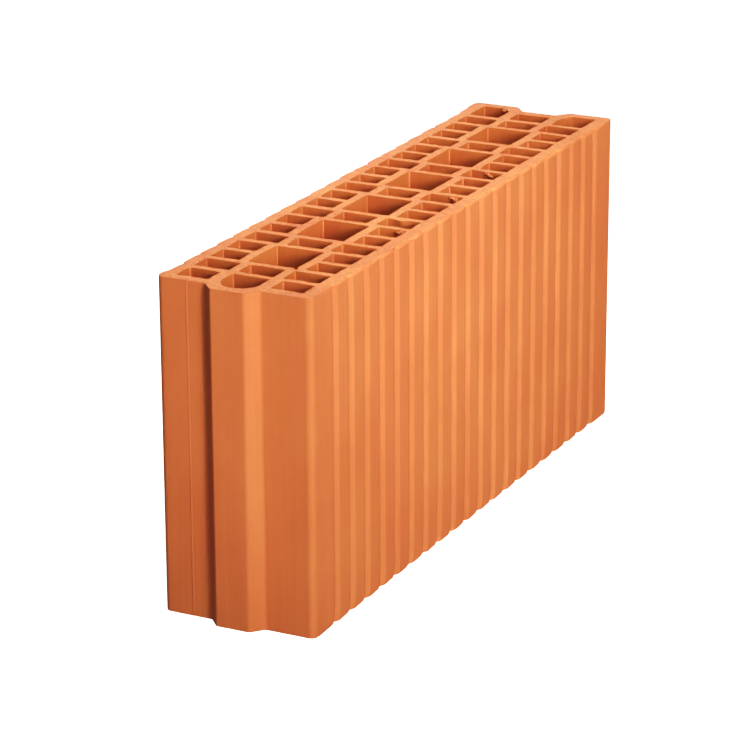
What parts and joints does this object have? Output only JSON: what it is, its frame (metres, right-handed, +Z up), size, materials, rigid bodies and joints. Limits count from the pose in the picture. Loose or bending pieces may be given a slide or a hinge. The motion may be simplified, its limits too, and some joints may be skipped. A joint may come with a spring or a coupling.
{
  "type": "hollow clay brick",
  "caption": "Tall perforated clay block for partition walls, with ribbed long faces, upright holes in rows, and a tongue and a groove at its ends.",
  "frame": {"origin": "middle of the bottom of the brick's bounding box, tongue included, on the floor it stands on", "axes": "+X along the length, from the tongue end to the groove end; +Y across the width, to a ribbed face; +Z up, along the holes"},
  "size_m": [0.507, 0.115, 0.238],
  "materials": {
    "fired_clay": "matte fired clay, orange, rough where the wire cut it"
  },
  "bodies": {
    "root": {"brick": "fired_clay"}
  },
  "joints": []
}
